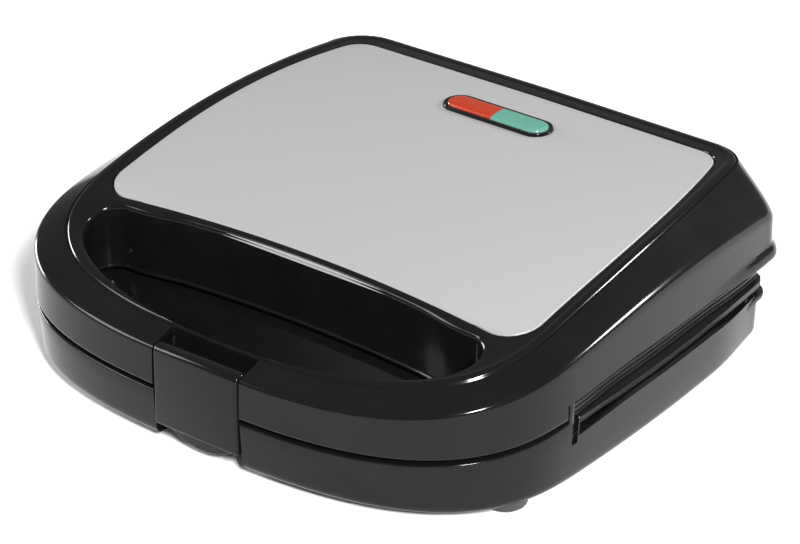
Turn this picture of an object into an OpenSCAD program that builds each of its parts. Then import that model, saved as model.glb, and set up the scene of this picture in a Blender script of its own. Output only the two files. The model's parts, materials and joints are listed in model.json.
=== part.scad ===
// Donut maker: a hinged two-shell baking iron with six ring-shaped wells.
// Millimetres, +Z up, +X to the right of a person facing the handle, -Y towards that person.
// Origin: middle of the footprint, on the surface that the feet stand on.

/* [Housing] */
// Full width of the plan that both shells follow
width = 228; // [215:1:276]
// Depth from the front of the latch to the rear lip
depth = 206; // [190:1:248]
// Half width that is lost between the widest point and the rear corners
side_taper = 9.5; // [4:0.5:14]
// Distance from the front to the widest point
front_depth = 73; // [60:1:88]
// Squareness of the front corners: 2 is an ellipse
corner_power = 2.9; // [2.2:0.1:3.6]
// Radius of the rear corners
rear_corner = 12; // [6:1:20]
// Wall of both shells
wall = 2.4; // [1.8:0.1:3.2]
// Height of the base floor's underside above the table
foot_height = 6.5; // [4:0.5:10]
// Diameter of a rubber foot
foot_d = 16; // [12:1:18]
// Height of the base shell at the front
base_front_height = 15.7; // [14:0.1:20]
// Height of the lid's upright band at the front
lid_band = 15; // [12:0.5:20]
// Gap between the lid and the base around the front
parting_gap = 1.3; // [0.6:0.1:2.5]
// Slope of the parting surface from the front to the cooking plates
parting_slope = 5.4; // [0:0.1:7]

/* [Lid top] */
// Height of the lid's top at the front edge of the raised rim
top_front = 42.8; // [40:0.2:48]
// Height of the lid's top at the rear edge
top_rear = 71.2; // [68:0.2:84]
// Extra height of the crown halfway along
crown = 8.5; // [0:0.5:10]
// How far the rim stands in from the front
rim_front = 11.5; // [8:0.5:14]
// How far the rim stands in from the sides
rim_side = 11.8; // [8:0.2:18]
// Half width that the rim loses between the widest point and the rear
rim_taper = 13; // [8:0.5:16]
// Width of the decorative steel plate at its front corners
steel_width = 188; // [170:1:192]
// Half width that the steel plate loses towards the rear
steel_taper = 8.4; // [0:0.2:14]
// Outward bow of the steel plate's sides
steel_bow = 5; // [0:0.5:8]
// Depth of the decorative steel plate
steel_depth = 134.5; // [110:0.5:138]
// Thickness of the steel plate
steel_thick = 0.8; // [0.5:0.1:1.2]

/* [Handle] */
// Width of the finger opening
opening_width = 175; // [140:1:180]
// Distance from the front of the lid to the finger opening
bar_depth = 13; // [11:0.5:18]
// Distance from the front of the lid to the cooking part
grip_depth = 59.2; // [52:0.2:62]
// How far the rear edge of the opening falls back towards its ends
edge_bow = 4.5; // [3:0.5:9]

/* [Latch] */
// Width of the latch plate
latch_width = 38; // [30:0.5:50]
// Gap on each side of the latch
latch_gap = 0.8; // [0.5:0.1:1.5]
// Diameter of the latch's pivot pin
latch_pin_d = 3; // [2.5:0.1:4]
// How far the latch opens, in degrees
latch_travel = 40; // [20:1:50]

/* [Hinge] */
// Diameter of the hinge pins
hinge_pin_d = 4; // [3:0.5:5]
// Outer diameter of the hinge knuckles
knuckle_d = 10; // [9:0.5:11]
// Width of one knuckle
knuckle_w = 10; // [8:1:14]
// Radial clearance of every pin in its running bore
pin_clear = 0.05; // [0.02:0.01:0.1]

/* [Cooking plates] */
// Width of a cooking plate
plate_width = 198; // [186:1:204]
// Depth of a cooking plate
plate_depth = 118; // [114:1:122]
// Thickness of the flat land of a plate
plate_thick = 3; // [2:0.2:4]
// Outer diameter of one ring-shaped well
well_d = 50; // [40:1:52]
// Diameter of the post in the middle of a well
post_d = 15; // [10:1:20]
// Depth of a well
well_depth = 9; // [7:0.5:10]
// Wall of a well
well_wall = 2; // [1.5:0.1:2.5]
// Spacing of the wells across the plate
pitch_x = 62; // [60:1:64]
// Spacing of the two rows
pitch_y = 57; // [56:1:59]
// Outer diameter of the tubular heating elements
heater_d = 6.4; // [5:0.2:7]

/* [Lamps] */
// Length of the two-part lens
lens_length = 46; // [38:1:54]
// Width of the two-part lens
lens_width = 11; // [8:0.5:14]
// Width of the bezel around the lens
bezel = 1.8; // [1:0.1:3]

/* [Hidden] */
$fn = 48;
big = 400;

// Outline values
y_front = -depth / 2;
lip = 1.5;
y_rear = depth / 2 - lip;
half_w = width / 2;
y_wide = y_front + front_depth;
front_steps = 14;
side_steps = 5;
corner_steps = 4;
half_count = front_steps + side_steps + corner_steps + 1;
loop_count = 2 * half_count - 1;

// Heights
base_bottom = foot_height;
parting_front = base_bottom + base_front_height;
grip_rear = y_front + grip_depth;
function parting(y) = parting_front + tan(parting_slope) * (y - y_front);
mate_z = parting(grip_rear) + parting_gap / 2;
plate_gap = 0.6;
base_edge = mate_z - 8.2;
lid_edge = mate_z + 6.6;
crease_front = parting_front + parting_gap + lid_band;
crease_rise = 0.2352;
crease_bend = 0.00067;
function crease(y) = let (d = y - y_front) crease_front + crease_rise * d - crease_bend * d * d;
rim_y0 = y_front + rim_front;
rim_y1 = y_rear - 4;
function top_z(y) = let (t = (y - rim_y0) / (rim_y1 - rim_y0))
    top_front + (top_rear - top_front) * t + crown * 4 * t * (1 - t);

// Latch and hinge places
latch_half = latch_width / 2;
bay_half = latch_half + latch_gap;
latch_front = y_front;
latch_r = 4.8;
latch_y = latch_front + latch_r;
latch_z = crease_front - 2;
bay_rear = y_front + 11.5;
latch_low = base_bottom + 2.6;
tab_y = latch_front + 2.6;
hinge_y = y_rear - 4.5;
hinge_z = mate_z;
hinge_x = 66;

// Cooking part
cook_y0 = grip_rear + wall + 0.4;
frame_gap = 5;
plate_y = cook_y0 + 3.5 + plate_depth / 2;
land_low = mate_z - plate_gap / 2;
land_high = mate_z + plate_gap / 2;
well_r = well_d / 2;
ring_r = (well_r + post_d / 2) / 2;
ring_half = (well_r - post_d / 2) / 2;
heater_drop = well_depth + well_wall + heater_d / 2 + 0.1;
shield_drop = heater_drop + heater_d / 2 + 0.4;
shield_thick = 0.5;

// Halfway outline from the front centre line round the right side to the rear
function half_outline(inset, side, taper, y0, y1, rc) = let (
    w = half_w - inset - side,
    ye = y1 - rc,
    xe = w - taper * pow((ye - y_wide) / (y1 - y_wide), 2)
) concat(
    [for (i = [0:front_steps]) let (a = 90 * i / front_steps)
        [w * pow(sin(a), 2 / corner_power),
         y_wide - (y_wide - y0) * pow(cos(a), 2 / corner_power)]],
    [for (i = [1:side_steps]) let (y = y_wide + (ye - y_wide) * i / side_steps)
        [w - taper * pow((y - y_wide) / (y1 - y_wide), 2), y]],
    [for (i = [1:corner_steps]) let (a = 90 * i / corner_steps)
        [xe - rc + rc * cos(a), ye + rc * sin(a)]]);
function closed(h) = concat(h, [for (i = [len(h) - 1:-1:1]) [-h[i][0], h[i][1]]]);
function outline(inset) =
    closed(half_outline(inset, 0, side_taper, y_front + inset, y_rear - inset,
                        max(2, rear_corner - inset)));
function rim_outline(inset) =
    closed(half_outline(inset, rim_side, rim_taper, rim_y0 + inset, rim_y1 - inset,
                        max(2, 16 - inset)));

// Stack of outline loops closed into one solid; the last loop may lie on a surface curved in Y
module skin(loops) {
    n = loop_count;
    m = len(loops);
    last = (m - 1) * n;
    polyhedron(
        points = [for (l = loops) for (p = l) p],
        faces = concat(
            [[for (i = [0:n - 1]) i]],
            [for (k = [0:m - 2]) for (i = [0:n - 1]) let (j = (i + 1) % n)
                [k * n + i, (k + 1) * n + i, (k + 1) * n + j]],
            [for (k = [0:m - 2]) for (i = [0:n - 1]) let (j = (i + 1) % n)
                [k * n + i, (k + 1) * n + j, k * n + j]],
            [[last, last + n - 1, last + 1]],
            [for (i = [1:half_count - 2])
                [last + i, last + n - i, last + n - i - 1, last + i + 1]]));
}
function lift(loop, z) = [for (p = loop) [p[0], p[1], z]];
function lift_top(loop, drop) = [for (p = loop) [p[0], p[1], top_z(p[1]) - drop]];
function lift_crease(loop, drop) = [for (p = loop) [p[0], p[1], crease(p[1]) - drop]];

// Half space above the sloped parting surface, raised by dz
module above_parting(dz) {
    translate([0, y_front, parting_front + dz])
        rotate([parting_slope, 0, 0])
            translate([-big / 2, -big / 2, 0])
                cube([big, big, big]);
}
// Plan of the cooking part: the outline drawn in by an inset, behind the finger opening
module cook_plan(inset, front) {
    intersection() {
        polygon(outline(inset));
        translate([-big / 2, front])
            square([big, big]);
    }
}
module slab(z0, z1) {
    translate([0, 0, z0])
        linear_extrude(z1 - z0)
            children();
}
module box(x0, x1, y0, y1, z0, z1) {
    translate([x0, y0, z0])
        cube([x1 - x0, y1 - y0, z1 - z0]);
}
// Cylinder along X from x0 to x1
module rod_x(x0, x1, y, z, d) {
    translate([x0, y, z])
        rotate([0, 90, 0])
            cylinder(d = d, h = x1 - x0);
}
module both_sides() {
    children();
    mirror([1, 0, 0])
        children();
}

// Large disc whose rim crosses x = 0 at y and falls back by edge_bow at the ends of the opening
module bow_disc(y) {
    chord = opening_width / 2 - 12;
    r = (chord * chord + edge_bow * edge_bow) / (2 * edge_bow);
    translate([0, y - r])
        circle(r, $fn = 360);
}
// Finger opening: a half ellipse in front, closed by the bowed rear edge, with rounded ends
opening_end = 14.7;
opening_corner = 8;
module opening_plan(grow) {
    middle = grip_rear - opening_end;
    reach = middle - y_front - bar_depth;
    offset(r = opening_corner + grow, $fn = 32)
        offset(delta = -opening_corner)
            intersection() {
                polygon([for (i = [0:71]) let (a = 5 * i)
                    [opening_width / 2 * cos(a), middle + reach * sin(a)]]);
                bow_disc(grip_rear);
            }
}

// Screw places
frame_screws = [[half_w - 9, cook_y0 + 7], [half_w - 16, y_rear - 17.5], [0, y_rear - 9.5]];
plate_screws = [[plate_width / 2 - 5, plate_y - plate_depth / 2 + 5],
                [plate_width / 2 - 5, plate_y + plate_depth / 2 - 5]];
feet = [[half_w - 14, y_front + 45], [half_w - 30, y_rear - 12]];
foot_seat = 3.4;
foot_chamfer = 1.5;
boss_d = 7;
pilot_d = 2.5;
shank_d = pilot_d - 0.02;
clear_hole = 3.4;
head_d = 5.6;
head_h = 1.8;
head_hole = head_d + 0.6;

module at_frame_screws() {
    for (p = frame_screws)
        translate([p[0], p[1], 0])
            children();
    for (p = frame_screws)
        if (p[0] > 0)
            translate([-p[0], p[1], 0])
                children();
}
module at_plate_screws() {
    for (s = [-1, 1])
        for (p = plate_screws)
            translate([s * p[0], p[1], 0])
                children();
}

// ---------- base ----------
base_draft = [2.4, 1.2, 0.5];
module base_outer() {
    skin([lift(outline(base_draft[0]), base_bottom),
          lift(outline(base_draft[1]), base_bottom + 2.5),
          lift(outline(base_draft[2]), parting_front + 12)]);
}
// Room inside the base: under the deck in front, and open-topped under the cooking plate
module base_hollow() {
    intersection() {
        skin([lift(outline(wall + base_draft[1]), base_bottom + wall),
              lift(outline(wall + base_draft[2]), parting_front + 14)]);
        union() {
            difference() {
                box(-big, big, -big, cook_y0 - wall, base_bottom, big);
                above_parting(-wall);
            }
            box(-big, big, cook_y0, big, base_bottom, big);
        }
    }
}
module base_knuckles() {
    both_sides()
        difference() {
            union() {
                rod_x(hinge_x, hinge_x + knuckle_w, hinge_y, hinge_z, knuckle_d);
                box(hinge_x, hinge_x + knuckle_w, hinge_y - knuckle_d / 2, hinge_y + 2,
                    base_edge - 6, hinge_z);
            }
            rod_x(hinge_x - 1, hinge_x + knuckle_w + 1, hinge_y, hinge_z,
                  hinge_pin_d + 2 * pin_clear);
        }
}
module at_feet() {
    for (s = [-1, 1])
        for (p = feet)
            translate([s * p[0], p[1], 0])
                children();
}
// Outward lip that runs round the rear corners of a shell
lip_y = 60;
module rear_lip(z0, z1) {
    slab(z0, z1)
        difference() {
            intersection() {
                polygon(outline(-lip));
                translate([-big / 2, lip_y])
                    square([big, big]);
            }
            polygon(outline(wall));
        }
}
gland_x = -60;
gland_z = base_bottom + 7.6;
gland_d = 9;
vent_pitch = 9;
module base_housing() {
    color([0.02, 0.02, 0.022]) {
        difference() {
            union() {
                difference() {
                    base_outer();
                    base_hollow();
                    // lowered rim along the sides and the rear
                    box(-big, big, cook_y0, big, base_edge, big);
                    above_parting(0);
                }
                // walls around the latch bay
                intersection() {
                    base_outer();
                    difference() {
                        box(-bay_half - wall, bay_half + wall, -big, bay_rear + wall,
                            base_bottom, big);
                        above_parting(0);
                    }
                }
                rear_lip(base_edge - 4, base_edge - 2.2);
                base_knuckles();
                intersection() {
                    base_outer();
                    union() {
                        at_frame_screws()
                            cylinder(d = boss_d, h = base_edge - 3);
                        at_feet()
                            cylinder(d = foot_d + 2 * wall, h = base_bottom + foot_seat + 1);
                    }
                }
            }
            // latch bay
            box(-bay_half, bay_half, -big, bay_rear, -1, big);
            // foot pockets
            at_feet()
                translate([0, 0, -1])
                    cylinder(d = foot_d, h = base_bottom + foot_seat + 1);
            // screw holes, counterbored from below
            at_frame_screws() {
                cylinder(d = clear_hole, h = big);
                cylinder(d = head_hole, h = base_bottom + head_h + 0.8);
            }
            // vent slots in the floor
            for (i = [-6:6])
                translate([i * vent_pitch, 20, 0])
                    box(-1.5, 1.5, -18, 18, 0, base_bottom + wall + 1);
            // cord inlet
            translate([gland_x, y_rear - 8, gland_z])
                rotate([-90, 0, 0])
                    cylinder(d = gland_d, h = 20);
        }
    }
}
ledge_x = 9;
ledge_y = 3;
module frame_ring(z0, z1, inset) {
    slab(z0, z1)
        difference() {
            cook_plan(inset, cook_y0 + 0.3);
            translate([-plate_width / 2 + ledge_x, plate_y - plate_depth / 2 + ledge_y])
                square([plate_width - 2 * ledge_x, plate_depth - 2 * ledge_y]);
        }
}
hinge_relief = knuckle_d / 2 + 1;
module hinge_cut(z0, z1) {
    both_sides()
        box(hinge_x - knuckle_w - 2, hinge_x + 2 * knuckle_w + 2, hinge_y - hinge_relief, big, z0, z1);
}
module lower_frame() {
    ledge = land_low - plate_thick;
    color([0.03, 0.03, 0.03])
    difference() {
        union() {
            frame_ring(ledge - 2, ledge, wall + 1.2);
            // upstanding rim along the sides and the rear of the plate
            slab(ledge - 2, land_low - 1)
                difference() {
                    cook_plan(frame_gap + 4, cook_y0 + 3.1);
                    translate([-plate_width / 2 - 0.4, plate_y - plate_depth / 2 - 0.4])
                        square([plate_width + 0.8, plate_depth + 0.8]);
                }
            at_frame_screws()
                translate([0, 0, base_edge - 2.8])
                    cylinder(d = boss_d, h = ledge - base_edge + 2);
        }
        hinge_cut(-1, big);
        at_frame_screws()
            translate([0, 0, -1])
                cylinder(d = pilot_d, h = ledge);
        at_plate_screws()
            translate([0, 0, -1])
                cylinder(d = clear_hole, h = big);
        slab(ledge, big)
            translate([-plate_width / 2 - 0.4, plate_y - plate_depth / 2 - 0.4])
                square([plate_width + 0.8, plate_depth + 0.8]);
    }
}
// A cooking plate lying with its land at z = 0 and its wells hanging down
module cooking_plate() {
    wells = [for (x = [-pitch_x, 0, pitch_x]) for (y = [-pitch_y / 2, pitch_y / 2]) [x, y]];
    difference() {
        union() {
            translate([-plate_width / 2, -plate_depth / 2, -plate_thick])
                cube([plate_width, plate_depth, plate_thick]);
            for (w = wells)
                translate([w[0], w[1], 0])
                    mirror([0, 0, 1]) {
                        cylinder(r = well_r + well_wall, h = well_depth + well_wall - 4);
                        cylinder(r = well_r - 2, h = well_depth + well_wall);
                    }
        }
        for (w = wells)
            translate([w[0], w[1], 0])
                rotate_extrude()
                    translate([ring_r, 0])
                        well_section();
        for (w = wells)
            translate([w[0], w[1], -well_depth - well_wall - 1])
                cylinder(d = post_d - 2 * well_wall, h = well_depth + 1);
    }
}
// Cross section of a well: straight mouth over a half round floor
module well_section() {
    translate([-ring_half, ring_half - well_depth])
        square([2 * ring_half, well_depth - ring_half + 1]);
    translate([0, ring_half - well_depth])
        circle(ring_half, $fn = 48);
}
module drill_plate() {
    difference() {
        children();
        for (s = [-1, 1])
            for (p = plate_screws)
                translate([s * p[0], p[1] - plate_y, -plate_thick - 1])
                    cylinder(d = pilot_d, h = plate_thick);
    }
}
module lower_plate() {
    color([0.10, 0.10, 0.11])
        translate([0, plate_y, land_low])
            drill_plate()
                cooking_plate();
}
// U-shaped tubular element in the plane z = 0, with two cold ends
module heater() {
    run = pitch_x + 20;
    r = pitch_y / 2;
    for (s = [-1, 1])
        rod_x(-run + r, run, s * r, 0, heater_d);
    translate([-run + r, 0, 0])
        rotate([0, 0, 90])
            rotate_extrude(angle = 180)
                translate([r, 0])
                    circle(d = heater_d);
    for (s = [-1, 1])
        rod_x(run, run + 8, s * r, 0, 2.4);
}
module lower_heater() {
    color([0.35, 0.33, 0.32])
        translate([0, plate_y, land_low - heater_drop])
            heater();
}
module reflector() {
    w = plate_width / 2 - 6;
    d = plate_depth / 2 - 4;
    difference() {
        translate([-w, -d, 0])
            cube([2 * w, 2 * d, 4]);
        translate([-w + shield_thick, -d + shield_thick, shield_thick])
            cube([2 * (w - shield_thick), 2 * (d - shield_thick), 4]);
    }
}
module lower_reflector() {
    color([0.75, 0.75, 0.77])
        translate([0, plate_y, land_low - shield_drop - shield_thick])
            reflector();
}
module screw(head_d, head_h, shank_d, length) {
    difference() {
        union() {
            cylinder(d = head_d, h = head_h);
            cylinder(d = shank_d, h = length);
        }
        for (a = [0, 90])
            rotate([0, 0, a])
                translate([-head_d * 0.3, -0.4, -1])
                    cube([head_d * 0.6, 0.8, 1 + head_h * 0.5]);
    }
}
plate_head_d = 5.5;
plate_head_h = 1.6;
ledge_thick = 2;
plate_screw_len = plate_head_h + ledge_thick + plate_thick - 1.2;
module lower_plate_screws() {
    color([0.7, 0.7, 0.72])
        at_plate_screws()
            translate([0, 0, land_low - plate_thick - ledge_thick - plate_head_h])
                screw(plate_head_d, plate_head_h, shank_d, plate_screw_len);
}
module base_screws() {
    color([0.6, 0.6, 0.62])
        at_frame_screws()
            translate([0, 0, base_bottom + 0.8])
                screw(head_d, head_h, shank_d, 14);
}
module foot() {
    cylinder(d1 = foot_d - 3, d2 = foot_d - 1, h = foot_chamfer);
    translate([0, 0, foot_chamfer])
        cylinder(d = foot_d - 0.3, h = base_bottom + foot_seat - foot_chamfer);
}
module foot_at(sx, i) {
    color([0.05, 0.05, 0.05])
        translate([sx * feet[i][0], feet[i][1], 0])
            foot();
}
module foot_front_left() { foot_at(-1, 0); }
module foot_front_right() { foot_at(1, 0); }
module foot_rear_left() { foot_at(-1, 1); }
module foot_rear_right() { foot_at(1, 1); }
module cord_gland() {
    color([0.06, 0.06, 0.06])
        translate([gland_x, y_rear - 1.2 - wall - 2.5, gland_z])
            rotate([-90, 0, 0])
                difference() {
                    union() {
                        cylinder(d = gland_d - 0.1, h = wall + 4.6);
                        cylinder(d = gland_d + 1, h = 2);
                    }
                    translate([0, 0, -1])
                        cylinder(d = 6, h = 20);
                }
}
clamp_y = y_rear - 16;
module cord_clamp() {
    color([0.8, 0.8, 0.75])
        difference() {
            box(gland_x - 9, gland_x + 9, clamp_y, clamp_y + 6, base_bottom + wall, gland_z + 5);
            translate([gland_x, clamp_y - 1, gland_z])
                rotate([-90, 0, 0])
                    cylinder(d = 6, h = 8);
        }
}
block_x = -30;
module terminal_block() {
    color([0.9, 0.9, 0.85])
        difference() {
            box(block_x - 15, block_x + 15, y_rear - 16, y_rear - 8, base_bottom + wall,
                base_bottom + wall + 7);
            for (i = [-1:1])
                translate([block_x + i * 9, y_rear - 12, base_bottom + wall + 2])
                    cylinder(d = 4, h = 10);
        }
}
wire_d = 2;
module base_wires() {
    color([0.85, 0.8, 0.3])
        for (i = [0:1])
            rod_x(block_x + 15.2, 60, y_rear - 14.8, base_bottom + wall + 1.2 + 3.2 * i, wire_d);
}

// ---------- lid ----------
module lid_outer() {
    skin([lift(outline(0), parting_front - 4),
          lift_crease(outline(0.9), 0.4),
          lift_top(rim_outline(0), 0)]);
}
module lid_inner() {
    skin([lift(outline(wall), parting_front - 5),
          lift_crease(outline(wall + 1), wall * 0.7),
          lift_top(rim_outline(wall * 0.7), wall + steel_thick)]);
}
// Solid sheet that follows the top's crown, between two depths below it, over a plan shape
module crown_sheet(upper, lower) {
    steps = 24;
    ys = [for (i = [0:steps]) y_front - 5 + (depth + 10) * i / steps];
    intersection() {
        translate([-big / 2, 0, 0])
            rotate([90, 0, 90])
                linear_extrude(big)
                    polygon(concat([for (y = ys) [y, top_z(y) - upper]],
                                   [for (i = [steps:-1:0]) [ys[i], top_z(ys[i]) - lower]]));
        translate([0, 0, -1])
            linear_extrude(big)
                children();
    }
}
steel_y0 = grip_rear + 2.7;
steel_recess = 1.2;
steel_corner = 12;
// Plan of the steel plate: bowed sides, hollow front edge, rounded corners
module steel_plan(grow) {
    steps = 12;
    y0 = steel_y0 - edge_bow - grow;
    y1 = steel_y0 + steel_depth - edge_bow + grow;
    side = [for (i = [0:steps]) let (t = i / steps)
        [steel_width / 2 + grow - steel_taper * t + steel_bow * 4 * t * (1 - t), y0 + (y1 - y0) * t]];
    offset(r = steel_corner, $fn = 32)
        offset(delta = -steel_corner)
            difference() {
                polygon(concat(side, [for (i = [steps:-1:0]) [-side[i][0], side[i][1]]]));
                bow_disc(steel_y0 - grow);
            }
}
lens_y = 67;
module pill(length, w) {
    hull()
        both_sides()
            translate([length / 2 - w / 2, 0])
                circle(d = w, $fn = 32);
}
module lens_plan(grow) {
    translate([0, lens_y])
        pill(lens_length + 2 * grow, lens_width + 2 * grow);
}
lid_knuckle_x = [hinge_x - knuckle_w - 0.4, hinge_x + knuckle_w + 0.4];
module lid_knuckles() {
    both_sides()
        for (x = lid_knuckle_x) {
            rod_x(x, x + knuckle_w, hinge_y, hinge_z, knuckle_d);
            box(x, x + knuckle_w, hinge_y - knuckle_d / 2, hinge_y + knuckle_d / 2 - 0.6,
                hinge_z, lid_edge + 6);
        }
}
module lid_housing() {
    color([0.02, 0.02, 0.022])
    difference() {
        union() {
            difference() {
                lid_outer();
                lid_inner();
            }
            // wall round the finger opening, and cheeks and back of the latch bay
            intersection() {
                lid_outer();
                union() {
                    slab(parting_front, big)
                        opening_plan(wall);
                    box(-bay_half - 5, bay_half + 5, -big, bay_rear + wall, parting_front, big);
                }
            }
            intersection() {
                lid_outer();
                at_frame_screws()
                    translate([0, 0, lid_edge + 3])
                        cylinder(d = boss_d, h = big);
            }
            rear_lip(lid_edge, lid_edge + 2);
            lid_knuckles();
        }
        // finger opening
        slab(0, big)
            opening_plan(0);
        // everything under the sloped parting surface in front, and under the raised side rim
        difference() {
            box(-big, big, -big, cook_y0, -1, big);
            above_parting(parting_gap);
        }
        difference() {
            box(-big, big, cook_y0 - 0.5, big, -1, lid_edge);
            both_sides()
                for (x = lid_knuckle_x)
                    box(x, x + knuckle_w, hinge_y - knuckle_d / 2, big, hinge_z - knuckle_d / 2,
                        lid_edge);
        }
        both_sides()
            rod_x(hinge_x - knuckle_w - 1, hinge_x + 2 * knuckle_w + 1, hinge_y, hinge_z, hinge_pin_d);
        // latch bay and its pin hole
        box(-bay_half, bay_half, -big, bay_rear, -1, big);
        rod_x(-bay_half - 4, bay_half + 4, latch_y, latch_z, latch_pin_d);
        // recess for the steel plate
        crown_sheet(-5, steel_recess)
            steel_plan(0.8);
        // hole for the lamps
        slab(0, big)
            lens_plan(bezel - 0.2);
        at_frame_screws()
            translate([0, 0, lid_edge])
                cylinder(d = pilot_d, h = 12);
    }
}
module handle_cover() {
    color([0.03, 0.03, 0.03])
    difference() {
        intersection() {
            slab(0, big)
                difference() {
                    intersection() {
                        polygon(outline(wall + 1.2));
                        translate([-big / 2, -big])
                            square([big, big + cook_y0 - 1]);
                    }
                    opening_plan(wall + 0.3);
                }
            difference() {
                above_parting(parting_gap + 0.3);
                above_parting(parting_gap + 2.3);
            }
        }
        box(-bay_half - 5.3, bay_half + 5.3, -big, bay_rear + wall + 0.3, -1, big);
    }
}
frame_top = land_high + plate_thick + ledge_thick;
module upper_frame() {
    ledge = land_high + plate_thick;
    outer = frame_gap;
    color([0.04, 0.04, 0.04])
    difference() {
        union() {
            frame_ring(ledge, ledge + 2, outer);
            slab(mate_z - 3, ledge + 2)
                difference() {
                    cook_plan(outer, cook_y0 + 0.3);
                    cook_plan(outer + 2, cook_y0 + 2.3);
                }
            at_frame_screws()
                translate([0, 0, ledge])
                    cylinder(d = boss_d, h = lid_edge + 2.8 - ledge);
        }
        hinge_cut(-1, big);
        at_frame_screws()
            cylinder(d = clear_hole, h = big);
        at_frame_screws()
            cylinder(d = head_hole, h = ledge + 1.2);
        at_plate_screws()
            cylinder(d = clear_hole, h = big);
    }
}
module upper_plate() {
    color([0.10, 0.10, 0.11])
        translate([0, plate_y, land_high])
            mirror([0, 0, 1])
                drill_plate()
                    cooking_plate();
}
module upper_heater() {
    color([0.35, 0.33, 0.32])
        translate([0, plate_y, land_high + heater_drop])
            heater();
}
module upper_reflector() {
    color([0.75, 0.75, 0.77])
        translate([0, plate_y, land_high + shield_drop + shield_thick])
            mirror([0, 0, 1])
                reflector();
}
module upper_plate_screws() {
    color([0.7, 0.7, 0.72])
        at_plate_screws()
            translate([0, 0, frame_top + plate_head_h])
                mirror([0, 0, 1])
                    screw(plate_head_d, plate_head_h, shank_d, plate_screw_len);
}
module lid_screws() {
    color([0.6, 0.6, 0.62])
        at_frame_screws()
            translate([0, 0, land_high + plate_thick + 1.2 - head_h])
                screw(head_d, head_h, shank_d, 13);
}
module top_plate() {
    color([0.75, 0.75, 0.76])
        crown_sheet(steel_recess - 0.2 - steel_thick, steel_recess - 0.2)
            difference() {
                steel_plan(0);
                lens_plan(bezel);
            }
}
bezel_up = 0.5;
module lamp_bezel() {
    color([0.02, 0.02, 0.02])
    difference() {
        crown_sheet(-bezel_up, 6)
            lens_plan(bezel - 0.3);
        slab(0, big)
            lens_plan(0.1);
    }
}
module half_lens(side) {
    intersection() {
        crown_sheet(-bezel_up - 1, 3)
            lens_plan(0);
        box(side > 0 ? 0.05 : -big, side > 0 ? big : -0.05, -big, big, 0, big);
    }
}
module lens_red() {
    color([0.85, 0.22, 0.08])
        half_lens(-1);
}
module lens_green() {
    color([0.15, 0.6, 0.5])
        half_lens(1);
}
lamp_z = top_z(lens_y) - 9;
module lamp(x) {
    rod_x(x - 7, x + 7, lens_y, lamp_z, 5);
}
module lamp_red() {
    color([0.9, 0.6, 0.5])
        lamp(-11);
}
module lamp_green() {
    color([0.6, 0.9, 0.8])
        lamp(11);
}
module lamp_holder() {
    color([0.9, 0.9, 0.88])
    difference() {
        box(-24, 24, lens_y - 7, lens_y + 7, lamp_z - 6, lamp_z + 1);
        for (x = [-11, 11])
            rod_x(x - 7.5, x + 7.5, lens_y, lamp_z, 5.2);
        box(-18.5, -3.5, lens_y - 2.6, lens_y + 2.6, lamp_z, lamp_z + 5);
        box(3.5, 18.5, lens_y - 2.6, lens_y + 2.6, lamp_z, lamp_z + 5);
    }
}
module thermostat() {
    color([0.3, 0.2, 0.15])
        translate([pitch_x / 2, plate_y, land_high + plate_thick + 0.05]) {
            cylinder(d = 17, h = 4);
            cylinder(d = 11, h = 9);
        }
}
module thermal_fuse() {
    color([0.85, 0.85, 0.6])
        rod_x(-pitch_x / 2 - 6, -pitch_x / 2 + 6, plate_y, land_high + plate_thick + 2.1, 4);
}
module lid_wires() {
    color([0.85, 0.8, 0.3])
        for (i = [0:1])
            translate([-8 + 16 * i, lens_y, frame_top + 14])
                cylinder(d = wire_d, h = lamp_z - 6.2 - frame_top - 14);
}
pin_len = 3 * knuckle_w + 0.8;
module hinge_pin(s) {
    x = s > 0 ? hinge_x - knuckle_w - 0.4 : -hinge_x - 2 * knuckle_w - 0.4;
    color([0.7, 0.7, 0.72])
        rod_x(x, x + pin_len, hinge_y, hinge_z, hinge_pin_d);
}
module hinge_pin_left() { hinge_pin(-1); }
module hinge_pin_right() { hinge_pin(1); }
module latch_pin() {
    color([0.7, 0.7, 0.72])
        rod_x(-bay_half - 4, bay_half + 4, latch_y, latch_z, latch_pin_d);
}

// ---------- latch ----------
web_depth = 5;
tab_half = 17.2;
tab_t = 2.2;
tab_drop = 5.6;
tab_r = 26;
module latch() {
    plate_t = 2.6;
    color([0.02, 0.02, 0.022])
    difference() {
        union() {
            rod_x(-latch_half, latch_half, latch_y, latch_z, 2 * latch_r);
            box(-latch_half, latch_half, latch_front, latch_front + plate_t, latch_low, latch_z);
            // side webs
            for (x = [-latch_half, latch_half - 2])
                translate([x, 0, 0])
                    rotate([90, 0, 90])
                        linear_extrude(2)
                            polygon([[latch_front, latch_low + 4], [latch_front + web_depth, latch_low + 4],
                                     [latch_front + web_depth, latch_low + 15],
                                     [latch_front + 2 * latch_r, latch_z], [latch_front, latch_z]]);
            // finger tab with a round lower edge
            intersection() {
                box(-tab_half, tab_half, latch_front, tab_y + tab_t, latch_low - tab_drop, latch_low + 2);
                translate([0, tab_y + tab_t + 1, latch_low - tab_drop + tab_r])
                    rotate([90, 0, 0])
                        cylinder(r = tab_r, h = 10);
                union() {
                    box(-big, big, tab_y, big, 0, big);
                    box(-big, big, -big, big, latch_low, big);
                }
            }
            // nib behind the plate
            box(-12, 12, latch_front + 1, latch_front + 5, latch_low + 6, latch_low + 7.6);
        }
        rod_x(-latch_half - 1, latch_half + 1, latch_y, latch_z, latch_pin_d + 2 * pin_clear);
    }
}

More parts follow.
